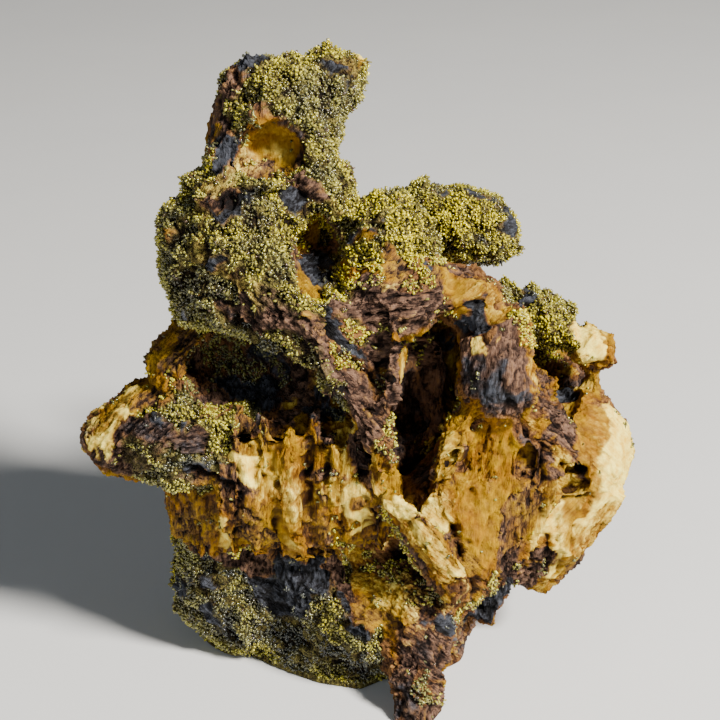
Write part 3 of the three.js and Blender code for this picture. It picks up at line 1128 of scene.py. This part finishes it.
def give_out(group, **values):
    out = group.nodes.new("NodeGroupOutput")
    for name, value in values.items():
        group.links.new(value, out.inputs[name])
    return group


def earthy_group():
    """Shared grain: an even earthy mottle and a fine speckle, from a place."""
    group, bench, given = new_group("earthy", {"Place": "Vector", "Size": "Float"}, ["Mottle", "Speckle"])
    scale = bench.sums("DIVIDE", 1.0, given["Size"])
    mottle = bench.put("TexNoise", Vector=given["Place"], Scale=scale, Detail=5.0, Roughness=0.6)[0]
    finer = bench.sums("MULTIPLY", scale, 6.0)
    speckle = bench.put("TexNoise", Vector=given["Place"], Scale=finer, Detail=2.0, Roughness=0.5)[0]
    return give_out(group, Mottle=mottle, Speckle=speckle)


def fibrous_group():
    """Shared grain: strands and flakes along a turned direction, from a place."""
    group, bench, given = new_group("fibrous", {"Place": "Vector", "Turn": "Vector"}, ["Grain"])
    spaces = []
    for length, width in (THREAD, FLAKE):
        drawn = (length * MM, width * MM, width * MM)
        inputs = dict(Vector=given["Place"], Rotation=given["Turn"], Scale=drawn)
        spaces.append(bench.put("Mapping", {"vector_type": "TEXTURE"}, **inputs)[0])
    strand = bench.put("TexNoise", Vector=spaces[0], Scale=1.0, Detail=3.0, Roughness=0.65, Distortion=0.5)[0]
    flake = bench.put("TexVoronoi", Vector=spaces[1], Scale=1.0)
    luck = bench.put("SeparateColor", Color=flake["Color"])[0]
    grain = bench.sums("MULTIPLY_ADD", luck, 0.4, bench.ramp(strand, 0.3, 0.7, 0.0, 0.7))
    edge = bench.ramp(flake["Distance"], 0.3, 0.7, 0.0, 0.3)
    return give_out(group, Grain=bench.sums("SUBTRACT", grain, edge))


def new_material(name):
    material = bpy.data.materials.new(name)
    material.use_nodes = True
    bench = Bench(material.node_tree)
    shader = material.node_tree.nodes["Principled BSDF"].inputs
    return material, bench, shader, bench.put("TexCoord")["Object"]


def earthy(bench, group, place, size):
    return bench.put("Group", {"node_tree": group}, Place=place, Size=size * MM)


def threads_along(bench, fibrous, place):
    """The fibrous grain, turned to the run of each stretch of rock."""
    thread = None
    for kind, run in RUNS.items():
        turn = Vector(run).to_track_quat("X", "Z").to_euler()
        strand = bench.put("Group", {"node_tree": fibrous}, Place=place, Turn=turn)["Grain"]
        thread = strand if thread is None else bench.put("Mix", _0=bench.trait(kind), A=thread, B=strand)[0]
    return thread


def gossan(group, fibrous):
    """Iron-stained rock: ochre between brown grooves and cream crests, which are partly painted shade and
    painted highlight, black where sooty and where shadow is painted, and painted shade in pits.
    """
    material, bench, shader, place = new_material("gossan")
    shader["Specular IOR Level"].default_value = 0.15
    grain = earthy(bench, group, place, EARTH)
    mottle, speckle = grain["Mottle"], grain["Speckle"]
    thread = threads_along(bench, fibrous, place)
    crest = bench.sums("MULTIPLY_ADD", bench.trait("crest"), 0.55, bench.sums("MULTIPLY", thread, 0.5))
    rougher = bench.ramp(bench.trait("calm"), 0.0, 1.0, 1.0, 0.3)
    crest = bench.sums("MULTIPLY_ADD", bench.sums("ADD", crest, -0.5), rougher, 0.5)
    # each stain's tone: lighter on crests and darker in grooves, partly the rock's own colour and partly
    # painted highlight and painted shade, varied at random by the mottle
    mottle_and_crest_light = bench.ramp(bench.sums("MULTIPLY_ADD", mottle, 0.9, bench.sums("MULTIPLY", crest, 0.6)), 0.45, 1.0)

    def spread(stain, by, how_much, low, high):
        """The mask of a stain, which keeps to where a pattern is high."""
        return bench.ramp(bench.sums("MULTIPLY_ADD", by, how_much, bench.trait(stain)), low, high)

    broad = earthy(bench, group, place, BROAD_EARTH)["Mottle"]
    orange, yellow = bench.blend(mottle_and_crest_light, *ORANGE), bench.blend(mottle_and_crest_light, *YELLOW)
    ochre = bench.blend(bench.ramp(broad, 0.38, 0.6), orange, yellow)
    colour = bench.blend(spread("ochre", mottle, 0.9, 0.65, 1.15), bench.blend(mottle_and_crest_light, *BARE), ochre)
    colour = bench.blend(spread("umber", crest, -0.8, -0.05, 0.55), colour, bench.blend(mottle_and_crest_light, *UMBER))
    colour = bench.blend(spread("cream", crest, 0.7, 0.52, 1.22), colour, bench.blend(mottle_and_crest_light, *CREAM))
    # black where the rock is sooty, and painted shade, bluish, where the strokes mark shadow
    colour = bench.blend(spread("soot_and_shade", mottle, 0.8, 0.75, 1.20), colour, bench.blend(mottle_and_crest_light, *SOOT_AND_SHADE_TONES))
    sprout = bench.put("TexVoronoi", {"voronoi_dimensions": "3D"}, Vector=place, Scale=1 / (SPROUT * MM))
    luck = bench.put("SeparateColor", Color=sprout["Color"])[0]
    colour = bench.blend(bench.trait("bed"), colour, bench.blend(luck, *SPROUTS))
    # grooves are multiplied towards brown: partly the rock's own stain, partly painted shade
    groove = bench.ramp(crest, 0.05, 0.42, 0.8, 0.0)
    colour = bench.blend(groove, colour, bench.blend(bench.trait("calm"), *GROOVE_STAIN_AND_SHADE), "MULTIPLY")
    # painted shade: the colour darkens where the relief cuts deepest
    depth = bench.ramp(bench.trait("open"), 0.0, 0.6, 1.0, 0.0)
    bench.fill(shader["Base Color"], bench.blend(depth, colour, PAINTED_PIT_SHADE, "MULTIPLY"))
    bench.fill(shader["Roughness"], bench.ramp(mottle, 0.3, 0.7, 0.6, 0.95))
    height = bench.sums("MULTIPLY_ADD", thread, 0.5, bench.sums("MULTIPLY", speckle, 0.3))
    height = bench.sums("MULTIPLY", height, rougher)
    budding = bench.sums("MULTIPLY", bench.trait("bed"), bench.ramp(sprout["Distance"], 0.1, 0.6, 0.9, 0.0))
    height = bench.sums("ADD", height, budding)
    bench.fill(shader["Normal"], bench.put("Bump", Strength=1.0, Distance=BUMP * MM, Height=height)[0])
    return material


def pyromorphite(group):
    """Crystals from olive to lemon, partly painted light, with painted shade at the root, deep in the relief
    and, bluish, where shadow is stroked; each with a tone of its own.
    """
    material, bench, shader, place = new_material("pyromorphite")
    shader["IOR"].default_value = 1.6
    grain = earthy(bench, group, place, CRYSTAL_GRAIN)
    tone = bench.trait("tone")
    # olive to lemon: partly the crystals' own colour, partly painted light on lit crystals
    colour = bench.blend(bench.trait("lemon"), bench.blend(tone, *OLIVE), bench.blend(tone, *LEMON))
    colour = bench.blend(bench.ramp(tone, 0.10, 0.05), colour, RUSTY)
    # painted shade: each crystal darkens towards its root
    colour = bench.blend(bench.ramp(bench.trait("along"), 0.1, 1.0, 0.75, 0.0), colour, PAINTED_ROOT_SHADE)
    # painted shade on crystals that stand deep in the relief
    colour = bench.blend(bench.ramp(bench.trait("open"), 0.1, 0.7, 0.7, 0.0), colour, SHADED)
    # darker on black rock, and painted bluish shade where the strokes mark shadow
    colour = bench.blend(bench.sums("MULTIPLY", bench.trait("soot_and_shade"), 0.85), colour, SOOTED_AND_SHADED)
    bench.fill(shader["Base Color"], colour)
    bench.fill(shader["Roughness"], bench.ramp(grain["Speckle"], 0.3, 0.7, 0.06, 0.28))
    return material


def plain_floor(group):
    material, bench, shader, place = new_material("floor")
    mottle = earthy(bench, group, place, FLOOR_GRAIN)["Mottle"]
    bench.fill(shader["Base Color"], bench.blend(mottle, *PALE))
    shader["Roughness"].default_value = 0.9
    return material


def lay_floor(material):
    bm = bmesh.new()
    bmesh.ops.create_grid(bm, x_segments=1, y_segments=1, size=FLOOR)
    mesh = finished_mesh(bm, "floor")
    mesh.materials.append(material)
    floor = new_object("floor", mesh)


def softbox(name, place, size, power, colour):
    """A round soft light that faces the middle of the specimen."""
    light = bpy.data.lights.new(name, "AREA")
    light.shape = "DISK"
    light.size = size
    light.energy = power
    light.color = colour
    lamp = new_object(name, light)
    lamp.location = place
    aim = Vector((0, 0, VIEW_HEIGHT * MM)) - Vector(place)
    lamp.rotation_euler = aim.to_track_quat("-Z", "Y").to_euler()


def hang_lights():
    softbox("key", *KEY)
    softbox("fill", *FILL)
    world = bpy.data.worlds.new("studio")
    world.use_nodes = True
    sky = world.node_tree.nodes["Background"].inputs
    sky["Color"].default_value = SKY
    sky["Strength"].default_value = SKY_STRENGTH
    bpy.context.scene.world = world


def set_camera():
    data = bpy.data.cameras.new("camera")
    data.lens = LENS
    data.sensor_width = SENSOR
    data.clip_start = 0.01
    camera = new_object("camera", data)
    camera.location = eye() * MM
    camera.rotation_euler = (-view_back()).to_track_quat("-Z", "Y").to_euler()
    bpy.context.scene.camera = camera


set_camera()
hang_lights()
earthy_grain = earthy_group()
lay_floor(plain_floor(earthy_grain))
skin = make_skin()
rock_pieces(skin, gossan(earthy_grain, fibrous_group()))
push_out(skin)
grow_druse(skin, pyromorphite(earthy_grain))
bpy.data.meshes.remove(skin)
